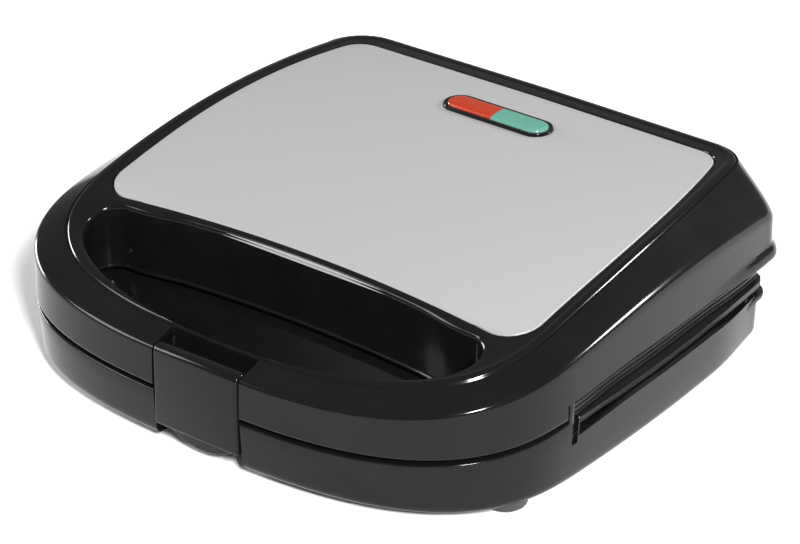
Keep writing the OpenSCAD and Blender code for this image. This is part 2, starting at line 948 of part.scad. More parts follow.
base_housing();
lower_frame();
lower_plate();
lower_heater();
lower_reflector();
lower_plate_screws();
base_screws();
foot_front_left();
foot_front_right();
foot_rear_left();
foot_rear_right();
cord_gland();
cord_clamp();
terminal_block();
base_wires();
lid_housing();
handle_cover();
upper_frame();
upper_plate();
upper_heater();
upper_reflector();
upper_plate_screws();
lid_screws();
top_plate();
lamp_bezel();
lens_red();
lens_green();
lamp_red();
lamp_green();
lamp_holder();
thermostat();
thermal_fuse();
lid_wires();
hinge_pin_left();
hinge_pin_right();
latch_pin();
latch();
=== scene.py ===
# %% [markdown]
# # Donut maker
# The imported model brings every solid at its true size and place, and this script gives the looks: it builds the
# glossy shells, the steel plate, the lamp lenses, the latch and the non-stick plates again with finer shapes, and
# gives a finish to everything that stays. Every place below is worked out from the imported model's own boxes.

# %% Load the frame
import json
import math

import bmesh
import bpy
from mathutils import Matrix, Vector


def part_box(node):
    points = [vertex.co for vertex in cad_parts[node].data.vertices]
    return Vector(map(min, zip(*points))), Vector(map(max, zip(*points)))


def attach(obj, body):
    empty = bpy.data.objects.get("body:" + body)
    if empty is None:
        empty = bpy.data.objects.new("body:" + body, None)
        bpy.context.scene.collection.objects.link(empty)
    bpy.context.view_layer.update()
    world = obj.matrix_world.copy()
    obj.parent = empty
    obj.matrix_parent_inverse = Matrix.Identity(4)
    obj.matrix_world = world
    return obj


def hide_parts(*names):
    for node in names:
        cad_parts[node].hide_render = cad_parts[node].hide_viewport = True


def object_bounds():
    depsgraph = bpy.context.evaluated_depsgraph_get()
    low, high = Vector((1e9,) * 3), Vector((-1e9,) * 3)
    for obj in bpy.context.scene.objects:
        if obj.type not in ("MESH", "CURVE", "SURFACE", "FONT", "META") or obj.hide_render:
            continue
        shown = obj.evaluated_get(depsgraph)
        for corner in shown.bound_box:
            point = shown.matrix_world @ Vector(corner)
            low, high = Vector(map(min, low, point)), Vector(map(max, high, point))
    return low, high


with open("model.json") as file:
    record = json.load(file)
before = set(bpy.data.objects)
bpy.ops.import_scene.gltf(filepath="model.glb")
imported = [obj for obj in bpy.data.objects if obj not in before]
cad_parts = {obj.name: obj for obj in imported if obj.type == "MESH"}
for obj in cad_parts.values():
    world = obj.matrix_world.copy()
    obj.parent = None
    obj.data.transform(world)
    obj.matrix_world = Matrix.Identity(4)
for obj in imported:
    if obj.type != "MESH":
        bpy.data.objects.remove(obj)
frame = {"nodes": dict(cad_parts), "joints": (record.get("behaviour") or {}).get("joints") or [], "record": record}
cad_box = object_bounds()
MM = 0.001
lid_low, lid_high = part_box("lid_housing")
base_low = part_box("base_housing")[0]
latch_low, latch_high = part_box("latch")
joint_at = {joint["name"]: Vector(joint["pos_m"]) for joint in frame["joints"]}

# %% [markdown]
# The camera stands where a buyer would look down on a worktop: 39 degrees round to the right and 27 degrees up,
# with a long lens that keeps the upright edges nearly parallel. It could be placed by hand, but an azimuth, an
# elevation and a distance from the middle of the model say the same thing in three numbers.

# %% Camera
AZIMUTH = math.radians(38.76)
ELEVATION = math.radians(27.03)
DISTANCE = 1.2927
LENS = 162.03
AIM_OFFSET = Vector((8.7, -1.55, 0)) * MM


def add_camera():
    towards = Vector((math.sin(AZIMUTH) * math.cos(ELEVATION),
                      -math.cos(AZIMUTH) * math.cos(ELEVATION),
                      math.sin(ELEVATION)))
    middle = (Vector(cad_box[0]) + Vector(cad_box[1])) / 2
    camera = bpy.data.objects.new("camera", bpy.data.cameras.new("camera"))
    camera.data.lens = LENS
    camera.data.sensor_width = 36
    camera.location = middle + AIM_OFFSET + DISTANCE * towards
    camera.rotation_euler = (math.pi / 2 - ELEVATION, 0, AZIMUTH)
    bpy.context.scene.collection.objects.link(camera)
    bpy.context.scene.camera = camera
    return camera


camera = add_camera()
print("camera", [round(v, 3) for v in camera.location])

# %% [markdown]
# Most of the solids here are the same on the left and the right. A whole loop could be lofted at once, but half is
# less work and can't come out lopsided: a row of points runs from the front to the back on the right side, each
# next row is extruded from the last, the first and last rows are closed to the middle plane, and the half is
# mirrored.

# %% Helpers that loft, cut and finish a mesh
def pull(bm, edges, row):
    """Extrude a chain of edges and move each new point to its place in the row."""
    place = bm.verts.layers.int["place"]
    grown = bmesh.ops.extrude_edge_only(bm, edges=edges)["geom"]
    new = {v for v in grown if isinstance(v, bmesh.types.BMVert)}
    for v in new:
        v.co = row[v[place]]
    return [e for e in grown if isinstance(e, bmesh.types.BMEdge) and set(e.verts) <= new]


def chain(bm, row):
    """A line of edges through a row of points, numbered in order."""
    place = bm.verts.layers.int.get("place") or bm.verts.layers.int.new("place")
    verts = []
    for i, point in enumerate(row):
        v = bm.verts.new(point)
        v[place] = i
        verts.append(v)
    return [bm.edges.new(pair) for pair in zip(verts, verts[1:])]


def to_middle(row):
    return [Vector((0, p.y, p.z)) for p in row]


def tidy(bm, distance=2e-6):
    bmesh.ops.remove_doubles(bm, verts=bm.verts[:], dist=distance)
    bmesh.ops.dissolve_degenerate(bm, edges=bm.edges[:], dist=distance)
    bmesh.ops.recalc_face_normals(bm, faces=bm.faces[:])


def piece(name, bm, sharp=32):
    """Turn a bmesh into an object that is smooth except at edges sharper than an angle."""
    mesh = bpy.data.meshes.new(name)
    for layer in list(bm.verts.layers.int):
        bm.verts.layers.int.remove(layer)
    bm.to_mesh(mesh)
    bm.free()
    mesh.shade_smooth()
    mesh.set_sharp_from_angle(angle=math.radians(sharp))
    obj = bpy.data.objects.new(name, mesh)
    bpy.context.scene.collection.objects.link(obj)
    return obj


def mirrored_solid(name, rows, sharp=32, ring=False):
    """Loft the right half through rows that run from front to back, close it and mirror it."""
    bm = bmesh.new()
    first = chain(bm, rows[0])
    edges = first
    for row in rows[1:]:
        edges = pull(bm, edges, row)
    if ring:
        pull(bm, edges, rows[0])
    else:
        pull(bm, edges, to_middle(rows[-1]))
        pull(bm, first, to_middle(rows[0]))
    tidy(bm)
    bmesh.ops.mirror(bm, geom=bm.verts[:] + bm.edges[:] + bm.faces[:], axis="X", merge_dist=5e-6)
    tidy(bm)
    return piece(name, bm, sharp)


def apply_modifiers(obj, sharp=32):
    """Bake an object's modifiers into its mesh."""
    seen = bpy.context.evaluated_depsgraph_get()
    mesh = bpy.data.meshes.new_from_object(obj.evaluated_get(seen))
    obj.modifiers.clear()
    obj.data = mesh
    mesh.set_sharp_from_angle(angle=math.radians(sharp))


def cut(obj, tools, operation="DIFFERENCE", sharp=32):
    """Take solids away from an object, or join them to it, and remove the tools."""
    for tool in tools:
        step = obj.modifiers.new("cut", "BOOLEAN")
        step.operation = operation
        step.solver = "EXACT"
        step.object = tool
    apply_modifiers(obj, sharp)
    for tool in tools:
        bpy.data.objects.remove(tool)


def block(name, x, y, z, bevel=0, segments=2):
    """A box between two values along each axis, with its edges rounded if a bevel is given."""
    bm = bmesh.new()
    bmesh.ops.create_cube(bm, size=1)
    bmesh.ops.scale(bm, vec=(x[1] - x[0], y[1] - y[0], z[1] - z[0]), verts=bm.verts[:])
    bmesh.ops.translate(bm, vec=((x[0] + x[1]) / 2, (y[0] + y[1]) / 2, (z[0] + z[1]) / 2), verts=bm.verts[:])
    if bevel:
        bmesh.ops.bevel(bm, geom=bm.edges[:], offset=bevel, offset_type="OFFSET", segments=segments,
                        affect="EDGES", profile=0.5, material=-1)
    return piece(name, bm)


ARCH_RUN = 150 * MM
ARCH_STEPS = 30


def arched_cut(name, half, y0, edge, arch, other):
    """A prism across the model whose edge along the sides arches up, reaching to another height."""
    along = [y0 + ARCH_RUN * k / ARCH_STEPS for k in range(ARCH_STEPS + 1)]
    line = [(y, edge + arch * side_share(y)) for y in along]
    bm = bmesh.new()
    verts = [bm.verts.new((-half, y, z)) for y, z in line + [(line[-1][0], other), (y0, other)]]
    grown = bmesh.ops.extrude_face_region(bm, geom=[bm.faces.new(verts)])["geom"]
    bmesh.ops.translate(bm, vec=(2 * half, 0, 0), verts=[v for v in grown if isinstance(v, bmesh.types.BMVert)])
    bmesh.ops.recalc_face_normals(bm, faces=bm.faces[:])
    return piece(name, bm)


def mix(row_a, row_b, t):
    return [a.lerp(b, t) for a, b in zip(row_a, row_b)]


def round_rows(row_a, corner, row_b, steps):
    """Rows of a soft edge from one row to another that bends round a corner row."""
    rows = []
    for k in range(steps + 1):
        t = k / steps
        rows.append(mix(mix(row_a, corner, t), mix(corner, row_b, t), t))
    return rows


print("helpers ready")

# %% [markdown]
# Seen from above both shells share one outline: a squarish ellipse round the front, sides that fall in a little
# towards the back, small rear corners and a straight rear edge. It could be traced by hand as a curve. A formula is
# better, because every part of the shells is the same outline drawn in by some distance.

# %% The outline that the shells share
WIDE = lid_high.x
FRONT = latch_low.y
LIP = 1.5 * MM
REAR = lid_high.y - LIP
FRONT_DEPTH = 73 * MM
Y_WIDE = FRONT + FRONT_DEPTH
SIDE_TAPER = 9.5 * MM
REAR_CORNER = 12 * MM
POWER = 2.8


def outline(inset, side=0, taper=SIDE_TAPER, front=FRONT, rear=REAR, corner=REAR_CORNER, bend=2, steps=(40, 36, 8)):
    """Plan points of the right half, from the middle of the front to the middle of the rear."""
    w = WIDE - inset - side
    y0 = front + inset
    y1 = rear - inset
    corner = max(corner - inset, 2 * MM)
    points = []
    for i in range(steps[0] + 1):
        a = math.pi / 2 * i / steps[0]
        points.append((w * math.sin(a) ** (2 / POWER), Y_WIDE - (Y_WIDE - y0) * max(0, math.cos(a)) ** (2 / POWER)))

    def side_x(y):
        return w - taper * ((y - Y_WIDE) / (y1 - Y_WIDE)) ** bend

    end = y1 - corner
    for i in range(1, steps[1] + 1):
        y = Y_WIDE + (end - Y_WIDE) * i / steps[1]
        points.append((side_x(y), y))
    for i in range(1, steps[2] + 1):
        a = math.pi / 2 * i / steps[2]
        points.append((side_x(end) - corner + corner * math.cos(a), end + corner * math.sin(a)))
    points.append((0, y1))
    return points


def at_height(points, height):
    """Raise plan points to a height, which may depend on where a point is."""
    return [Vector((x, y, height(x, y) if callable(height) else height)) for x, y in points]


def ease(t):
    t = min(1, max(0, t))
    return t * t * (3 - 2 * t)


def side_share(y):
    """How strongly the sides behind the grip are drawn in or arched at a distance along them."""
    return ease((y / MM + 48) / 50) * (1 - 0.65 * ease((y / MM - 45) / 45))


def lean(points, amount):
    """Draw the sides in behind the grip."""
    return [(x - amount * side_share(y) * ease(x / (60 * MM)), y) for x, y in points]


def tuck(points, amount):
    """Draw the rear end in, where the base stands inside its own flange."""
    moved = []
    for x, y in points:
        share = ease((y / MM - 55) / 45)
        moved.append((x - 0.7 * amount * share * min(1, x / (90 * MM)), y - amount * share))
    return moved


print("outline", len(outline(0)), "points a side")

# %% [markdown]
# The heights come next. The parting line between the shells rises gently from front to back. The crease, where the
# upright band of the lid meets the sloping face, and the top of the lid are both low curves. Each height could be a
# list of levels, but a function of x and y gives every row a level at any point, so all of them take both values.

# %% Heights
PARTING_GAP = 1.3 * MM
GRIP_REAR = FRONT + 58.4 * MM
PARTING_SLOPE = math.tan(math.radians(5.4))
PARTING_FRONT = 22.2 * MM
TOP_FRONT = 42.8 * MM
TOP_REAR = 71.7 * MM
CROWN = 8.5 * MM
RIM_FRONT = FRONT + 11.7 * MM
RIM_REAR = REAR - 4 * MM
RIM_SIDE = 11.3 * MM
RIM_TAPER = 13 * MM
RIM_CORNER = 16 * MM
LID_EDGE = 35.05 * MM
LID_ARCH = 2.7 * MM
BASE_EDGE = 20.25 * MM
COOK_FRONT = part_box("upper_frame")[0].y - 0.3 * MM


def parting(x, y):
    return PARTING_FRONT + PARTING_SLOPE * (y - FRONT)


def crease(x, y):
    d = (y - FRONT) / MM
    return (38.5 + 0.2352 * d - 0.00067 * d * d - 0.0004 * max(0, d - 80) ** 2) * MM


def top(x, y):
    t = (y - RIM_FRONT) / (RIM_REAR - RIM_FRONT)
    return TOP_FRONT + (TOP_REAR - TOP_FRONT) * t + CROWN * 4 * t * (1 - t) - 0.8 * MM * (x / (95 * MM)) ** 2


def low_edge(x, y):
    """The parting line as far as the grip, then level behind it."""
    return min(parting(x, y), parting(0, GRIP_REAR))


def raised(height, by):
    return lambda x, y: height(x, y) + by


def rim(inset):
    """Plan of the raised rim that runs round the top of the lid."""
    return outline(inset, side=RIM_SIDE, taper=RIM_TAPER, front=RIM_FRONT, rear=RIM_REAR, corner=RIM_CORNER, bend=2.4)


def inward(points, height, shares=(0.8, 0.6, 0.4, 0.2)):
    """Rows that close a curved top towards the middle plane."""
    return [at_height([(x * share, y) for x, y in points], height) for share in shares]


print("crease in front", round(crease(0, FRONT) / MM, 1), "top at the back", round(top(0, RIM_REAR) / MM, 1))

# %% [markdown]
# ## Lid
# The lid is one moulding: an upright band, a soft crease, a sloping face, a fine groove, a raised bead that runs
# all the way round, and the curved top inside it. A subdivision surface could give the soft edges, but the bead and
# the groove would need many guard loops. Lofting rows gives each its own radius.

# %% Lid, outer form
REAR_LIP_Z = 37.2
REAR_LIP_HALF = 3.4
REAR_LIP_OUT = 1.7


def rear_bulge(row):
    """Push a band row outwards where a rounded lip runs round the rear corners."""
    away = [Vector((a[0] - b[0], a[1] - b[1], 0)) for a, b in zip(outline(-1 * MM), outline(0))]
    moved = []
    for p, n in zip(row, away):
        height = max(0, 1 - abs(p.z / MM - REAR_LIP_Z) / REAR_LIP_HALF)
        share = math.sqrt(height) * ease((p.y / MM - 45) / 40)
        moved.append(p + n * REAR_LIP_OUT * share)
    return moved


def lid_form():
    gap = raised(low_edge, PARTING_GAP + 0.4 * MM)
    band_foot = at_height(outline(0.6 * MM), gap)
    foot_corner = at_height(outline(0.05 * MM), gap)
    band_low = at_height(outline(0), raised(gap, 0.8 * MM))
    crease_row = at_height(outline(0.3 * MM), crease)
    rim_row = at_height(rim(-0.7 * MM), raised(top, -0.35 * MM))
    band_high = mix(crease_row, band_low, 0.12)
    slope_low = [a.lerp(b, 0.2 + 0.35 * ease((a.y / MM - 30) / 60)) for a, b in zip(crease_row, rim_row)]
    rows = [band_foot]
    rows += round_rows(band_foot, foot_corner, band_low, 3)[1:]
    rows += [rear_bulge(mix(band_low, band_high, t / 24)) for t in range(1, 24)]
    rows += round_rows(band_high, crease_row, slope_low, 8)
    rows += [mix(slope_low, rim_row, t / 5) for t in range(1, 5)]
    rows += [rim_row]
    bead = [(-0.45, -0.75), (-0.1, -0.85), (0.15, -0.5), (0.35, -0.05), (0.7, 0.2), (1.2, 0.3), (1.8, 0.32),
            (2.4, 0.28), (2.9, 0.12), (3.2, -0.02), (3.6, -0.1)]
    rows += [at_height(rim(inset * MM), raised(top, rise * MM)) for inset, rise in bead]
    rows += inward(rim(3.6 * MM), raised(top, -0.1 * MM))
    return mirrored_solid("lid_shell", rows)


lid = lid_form()
print("lid form", len(lid.data.polygons), "faces")

# %% [markdown]
# The finger opening, the recess for the steel plate, the hole for the lamps and the bay for the latch are cut out
# of that form. Each cutter is lofted in the same way, and where a cut meets the top the cutter flares, which leaves
# a rounded lip.

# %% Plans of the openings
OPEN_HALF = 87.5 * MM
OPEN_MIDDLE = FRONT + 44.3 * MM
OPEN_FRONT = FRONT + 12.9 * MM
OPEN_CORNER = 9 * MM
BOW = 4.6 * MM
BOW_HALF = 76 * MM
OPEN_POWER = 2.02


def bow(x, y, amount=BOW):
    """The hollow curve shared by the rear of the opening and the front of the steel plate."""
    return y - amount * (x / BOW_HALF) ** 2


def opening(inset):
    """Plan of the finger opening, from the middle of its front to the middle of its rear."""
    half = OPEN_HALF - inset
    points = []
    for i in range(41):
        a = math.pi / 2 * i / 40
        points.append((half * math.sin(a) ** (2 / OPEN_POWER),
                       OPEN_MIDDLE - (OPEN_MIDDLE - OPEN_FRONT - inset) * max(0, math.cos(a)) ** (2 / OPEN_POWER)))
    r = OPEN_CORNER - inset
    for i in range(1, 11):
        a = math.radians(84) * i / 10
        points.append((half - r + r * math.cos(a), OPEN_MIDDLE + r * math.sin(a)))
    x1, y1 = points[-1]
    for i in range(1, 17):
        x = x1 * (1 - i / 16)
        settle = ease(i / 5)
        points.append((x, (1 - settle) * y1 + settle * bow(x, GRIP_REAR - inset)))
    return points


def arc_corner(before, corner, after, radius, steps=8):
    """Points of an arc that rounds the corner between two straight runs."""
    p = Vector(corner)
    a = (Vector(before) - p).normalized()
    b = (Vector(after) - p).normalized()
    half = a.angle(b) / 2
    centre = p + (a + b).normalized() * radius / math.sin(half)
    start = p + a * radius / math.tan(half) - centre
    end = p + b * radius / math.tan(half) - centre
    return [tuple(centre + (start * (1 - k / steps) + end * (k / steps)).normalized() * radius)
            for k in range(steps + 1)]


STEEL_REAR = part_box("top_plate")[1].y
STEEL_FRONT = FRONT + 61.9 * MM
STEEL_HALF = 95.9 * MM
STEEL_TAPER = 11.2 * MM
STEEL_CORNER = 12 * MM


def steel(grow):
    """Plan of the steel plate: a hollow front, bowed sides and rounded corners."""
    y0 = STEEL_FRONT - 4 * MM
    y1 = STEEL_REAR + grow

    def side(y):
        return (STEEL_HALF + grow - STEEL_TAPER * max(0, (y / MM + 20) / 105) ** 2.6, y)

    front_corner = (STEEL_HALF + grow, bow(STEEL_HALF, STEEL_FRONT - grow, 3.8 * MM))
    first = y0 + 13 * MM
    last = y1 - 12 * MM
    points = [(x * MM, bow(x * MM, STEEL_FRONT - grow, 3.8 * MM)) for x in range(0, 81, 5)]
    points += arc_corner(points[-1], front_corner, side(first), STEEL_CORNER + grow)
    points += [side(first + (last - first) * k / 20) for k in range(21)]
    points += arc_corner(side(last), side(y1), (0, y1), 10 * MM + grow)
    points.append((0, y1))
    return points


lens_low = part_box("lens_red")[0]
lens_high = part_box("lens_green")[1]
LENS_Y = (lens_low.y + lens_high.y) / 2
LENS_HALF = lens_high.x
LENS_R = (lens_high.y - lens_low.y) / 2


def pill(grow, steps=16):
    """Plan of the lamp lens: a long shape with round ends."""
    r = LENS_R + grow
    centre = LENS_HALF - LENS_R
    points = [(0, LENS_Y - r)]
    for i in range(steps + 1):
        a = -math.pi / 2 + math.pi * i / steps
        points.append((centre + r * math.cos(a), LENS_Y + r * math.sin(a)))
    points.append((0, LENS_Y + r))
    return points


print("opening", len(opening(0)), "points, steel plate", len(steel(0)), "points, lens", len(pill(0)), "points")

# %% Cut the lid
WALL = 2.4 * MM
STEEL_RECESS = 1.2 * MM
FAR = 200 * MM
latch_half = (latch_high.x - latch_low.x) / 2
BAY_HALF = latch_half + 0.8 * MM
BAY_REAR = FRONT + 11.6 * MM


def opening_cutter():
    rows = [at_height(opening(0), 0)]
    rows += [at_height(opening(0), raised(top, -h * MM)) for h in (12, 3, 1.7)]
    flare = [(0.1, 1.2), (0.35, 0.7), (0.75, 0.32), (1.3, 0.1)]
    rows += [at_height(opening(-out * MM), raised(top, -drop * MM)) for out, drop in flare]
    rows += [at_height(opening(-2 * MM), raised(top, 4 * MM))]
    return mirrored_solid("opening_cutter", rows)


def hollow_cutter():
    rows = [at_height(outline(WALL), 0),
            at_height(outline(WALL), parting(0, Y_WIDE)),
            at_height(outline(WALL + 1 * MM), raised(crease, -1.7 * MM)),
            at_height(rim(WALL * 0.7), raised(top, -WALL - 1 * MM))]
    return mirrored_solid("hollow_cutter", rows)


def recess_cutter():
    rows = [at_height(steel(0.6 * MM), raised(top, -STEEL_RECESS)),
            at_height(steel(0.6 * MM), raised(top, -0.5 * MM)),
            at_height(steel(0.8 * MM), raised(top, -0.22 * MM)),
            at_height(steel(1.0 * MM), raised(top, 4 * MM))]
    return mirrored_solid("recess_cutter", rows)


def lamp_cutter(grow):
    rows = [at_height(pill(grow), raised(top, -10 * MM)), at_height(pill(grow), raised(top, 5 * MM))]
    return mirrored_solid("lamp_cutter", rows)


def opening_wall():
    """The wall that runs down round the finger opening."""
    rows = [at_height(opening(-WALL), raised(parting, PARTING_GAP)),
            at_height(opening(-WALL), raised(top, -1.5 * MM))]
    return mirrored_solid("opening_wall", rows)


solid_front = block("solid_front", (-BAY_HALF - 5 * MM, BAY_HALF + 5 * MM), (FRONT + 3 * MM, BAY_REAR + WALL),
                    (parting(0, FRONT) + 2.5 * MM, crease(0, FRONT) - 1 * MM))
hollow = hollow_cutter()
cut(hollow, [opening_wall(), solid_front])
side_cut = arched_cut("side_cut", FAR, COOK_FRONT - 0.5 * MM, LID_EDGE, LID_ARCH, -FAR)
bay = block("bay", (-BAY_HALF, BAY_HALF), (FRONT - 20 * MM, BAY_REAR), (0, FAR), bevel=0.8 * MM)
cut(lid, [hollow, opening_cutter(), recess_cutter(), lamp_cutter(1.0 * MM), side_cut, bay])
print("lid", len(lid.data.polygons), "faces")

# %% [markdown]
# ## Base
# The base is a tray with a flat deck in front, under the finger opening, and an open top behind it, where the frame
# of the lower plate sits. One Boolean box gives the step between the two heights; modelling the step in the loft
# would need rows that split in the middle.

# %% Base
BASE_TUCK = 3.2 * MM
BASE_DROP = 2.9 * MM
BASE_ARCH = 2.2 * MM
TRAY_HALF = 101 * MM
SLOT_IN = 111.2 * MM
SLOT_OUT = 120 * MM
SLOT_LOW = 18.2 * MM
SLOT_HIGH = 40 * MM


def base_row(inset, height):
    return at_height(tuck(outline(inset * MM), BASE_TUCK), height)


def base_form():
    low = base_low.z - BASE_DROP
    foot_end = base_row(1.4, low + 3.6 * MM)
    rows = [base_row(4.6, low)]
    rows += round_rows(base_row(4.0, low), base_row(1.7, low + 0.1 * MM), foot_end, 6)
    high = base_row(0.35, raised(parting, -1.2 * MM))
    rows += [mix(foot_end, high, t / 3) for t in (1, 2)]
    rows += round_rows(high, base_row(0.35, raised(parting, -0.4 * MM)),
                       base_row(1.1, raised(parting, -0.4 * MM)), 4)
    return mirrored_solid("base_shell", rows)


def base_hollow():
    rows = [base_row(4, base_low.z), base_row(2.8, 45 * MM)]
    tool = mirrored_solid("base_hollow", rows)
    cut(tool, [block("front_part", (-FAR, FAR), (-FAR, COOK_FRONT), (-FAR, 2 * FAR))])
    return tool


base = base_form()
side_cut = block("side_cut", (-TRAY_HALF, TRAY_HALF), (COOK_FRONT, FAR), (BASE_EDGE, FAR))
step_cut = arched_cut("step_cut", FAR, COOK_FRONT + 6.5 * MM, BASE_EDGE, BASE_ARCH, FAR)
slots = [block("slot", sorted((side * SLOT_IN, side * SLOT_OUT)), (COOK_FRONT + 2.7 * MM, COOK_FRONT + 5.9 * MM),
               (SLOT_LOW, SLOT_HIGH)) for side in (-1, 1)]
bay = block("bay", (-BAY_HALF, BAY_HALF), (FRONT - 20 * MM, BAY_REAR), (-FAR, FAR), bevel=0.8 * MM)
cut(base, [base_hollow(), side_cut, step_cut, bay, *slots])
print("base", len(base.data.polygons), "faces")

# %% [markdown]
# Behind the grip both shells stop short of the parting line, and the plates' frames close the space between them.
# The upper frame shows as a ribbed wall, so its ribs are rows of the same loft. A displaced wall would need far more
# faces to give ribs a millimetre high.

# %% Frames around the plates
FRAME_LEAN = 2.9 * MM
FLANGE_SINK = 6 * MM
POST_IN = 108.5 * MM
POST_OUT = 113 * MM
POST_LOW = 26.4 * MM


def cook_row(inset, z, front=0.3 * MM, amount=FRAME_LEAN):
    """Points round the cooking part: a straight front behind the grip, then the outline drawn in."""
    y0 = COOK_FRONT + front
    points = [p for p in lean(outline(inset), amount) if p[1] > -40 * MM]
    x0 = points[0][0]
    front_run = [(x0 * k / 8, y0) for k in range(9)]
    return at_height(front_run + [(x, max(y, y0)) for x, y in points], z)


def frame_ring(name, profile, sink=0):
    """A ring round the plates from inset, height and arch values, sunk along the sides."""
    rows = []
    for inset, z, arch in profile:
        level = raised(lambda x, y: (LID_ARCH * arch - sink * (1 - arch)) * side_share(y), z * MM)
        rows.append(cook_row(inset * MM, level, max(0.3, inset - 4) * MM, FRAME_LEAN * (1 - arch)))
    return mirrored_solid(name, rows, ring=True)


upper_low, upper_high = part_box("upper_frame")
lower_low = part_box("lower_frame")[0]
z = upper_low.z / MM
ledge = upper_high.z / MM
edge = LID_EDGE / MM
ribs = [(4.3, z, 0), (3.9, z + 0.4, 0), (3.9, z + 1.1, 0), (4.7, z + 1.4, 0), (4.7, z + 1.7, 0), (3.9, z + 2.0, 0),
        (3.9, z + 2.9, 0), (4.7, z + 3.2, 0), (4.7, z + 3.5, 0), (3.9, z + 3.8, 0), (3.9, z + 4.6, 0),
        (3.3, z + 5.1, 0), (1.4, edge - 0.2, 1), (1.4, edge + 0.6, 1), (5, edge + 0.6, 1), (9, ledge, 0),
        (9, ledge - 2, 0), (6.8, ledge - 2.2, 0), (6.6, z, 0)]
seal = frame_ring("ribbed_wall", ribs)
z = BASE_EDGE / MM
low = lower_low.z / MM + 1.8
flange_section = [(2.2, z + 0.1), (1.5, z + 0.4), (1.5, z + 1.6), (1.9, z + 2.0), (5.4, z + 2.3), (5.6, low),
                  (9.4, low), (9.4, z + 0.1)]
flange = frame_ring("base_flange", [(inset, z, 0) for inset, z in flange_section], FLANGE_SINK)
posts = [block("side_post", sorted((side * POST_IN, side * POST_OUT)),
               (COOK_FRONT + 0.7 * MM, COOK_FRONT + 3.6 * MM), (POST_LOW, LID_EDGE + 0.6 * MM), bevel=0.5 * MM)
         for side in (-1, 1)]
lip_rows = [(-0.2, 1.9), (0.5, 2.0), (0.8, 2.4), (0.8, 3.0), (0.5, 3.4), (-0.2, 3.5)]
opening_lip = mirrored_solid("opening_lip", [at_height(opening(inset * MM), raised(parting, z * MM))
                                             for inset, z in lip_rows], ring=True)
print("ribbed wall", len(seal.data.polygons), "faces, base flange", len(flange.data.polygons), "faces")

# %% [markdown]
# ## Steel plate and lamps
# The steel plate is a thin sheet with softly turned edges that lies in the recess of the lid. A flat plane would do
# from above, but it would not follow the crown of the lid or catch light along its edge. The lamps are two halves
# of one domed lens in a black bezel that stands in a hole through the plate.

# %% Steel plate
def steel_plate():
    rise = -STEEL_RECESS
    rows = [at_height(steel(0), raised(top, rise + 0.2 * MM)),
            at_height(steel(0), raised(top, rise + 0.75 * MM)),
            at_height(steel(-0.12 * MM), raised(top, rise + 0.93 * MM)),
            at_height(steel(-0.4 * MM), raised(top, rise + 1.0 * MM))]
    plate = mirrored_solid("steel_plate", rows)
    cut(plate, [lamp_cutter(1.1 * MM)])
    return plate


plate = steel_plate()
print("steel plate", len(plate.data.polygons), "faces")

# %% Lamps

def lamp_bezel():
    rows = [at_height(pill(0.9 * MM), raised(top, -5 * MM)),
            at_height(pill(0.9 * MM), raised(top, -0.1 * MM)),
            at_height(pill(0.75 * MM), raised(top, 0.15 * MM)),
            at_height(pill(-0.2 * MM), raised(top, 0.15 * MM)),
            at_height(pill(-0.6 * MM), raised(top, -0.1 * MM))]
    bezel = mirrored_solid("bezel_ring", rows)
    cut(bezel, [lamp_cutter(-0.65 * MM)])
    return bezel


bezel = lamp_bezel()


def lens(name, side):
    rows = [at_height(pill(-0.75 * MM), raised(top, -3 * MM)),
            at_height(pill(-0.75 * MM), raised(top, 0.1 * MM))]
    dome = [(0.9, 0.5), (1.3, 0.8), (2.0, 1.0), (3.0, 1.1), (4.0, 1.15)]
    rows += [at_height(pill(-inset * MM), raised(top, rise * MM)) for inset, rise in dome]
    both = mirrored_solid(name, rows)
    keep = sorted((side * 0.05 * MM, side * FAR))
    cut(both, [block("half", keep, (-FAR, FAR), (-FAR, FAR))], operation="INTERSECT")
    return both


red = lens("red_lens", -1)
green = lens("green_lens", 1)
print("lamps", sum(len(obj.data.polygons) for obj in (bezel, red, green)), "faces")

# %% [markdown]
# ## Latch
# The latch is a thick plate that curls over its pin at the top and carries a finger tab below. Its side profile is
# drawn as points, extruded across and bevelled, which is quicker than lofting such a plain shape.

# %% Latch
FLAP_THICK = 2.6 * MM
FLAP_LOW = 9.1 * MM
FLAP_DEEP = 6.5 * MM
TAB_HALF = 17.2 * MM
TAB_RADIUS = 26 * MM
TAB_THICK = 2.2 * MM


def latch_piece():
    pivot = joint_at["latch_pivot"]
    front = latch_low.y
    profile = [(front, FLAP_LOW), (front, pivot.z)]
    for i in range(1, 17):
        a = math.pi * i / 16
        profile.append((front + 3.4 * MM * (1 - math.cos(a)), pivot.z + 3.3 * MM * math.sin(a) ** 0.7))
    profile += [(front + FLAP_DEEP, pivot.z - 12 * MM), (front + FLAP_DEEP, FLAP_LOW + 6 * MM),
                (front + FLAP_THICK, FLAP_LOW + 4 * MM), (front + FLAP_THICK, FLAP_LOW)]
    bm = bmesh.new()
    verts = [bm.verts.new((-latch_half, y, z)) for y, z in profile]
    face = bm.faces.new(verts)
    grown = bmesh.ops.extrude_face_region(bm, geom=[face])["geom"]
    bmesh.ops.translate(bm, vec=(2 * latch_half, 0, 0), verts=[v for v in grown if isinstance(v, bmesh.types.BMVert)])
    tidy(bm)
    edges = [e for e in bm.edges if e.calc_face_angle(0) > math.radians(50)]
    bmesh.ops.bevel(bm, geom=edges, offset=0.9 * MM, offset_type="OFFSET", segments=4, affect="EDGES",
                    profile=0.5, material=-1)
    return piece("latch_flap", bm)


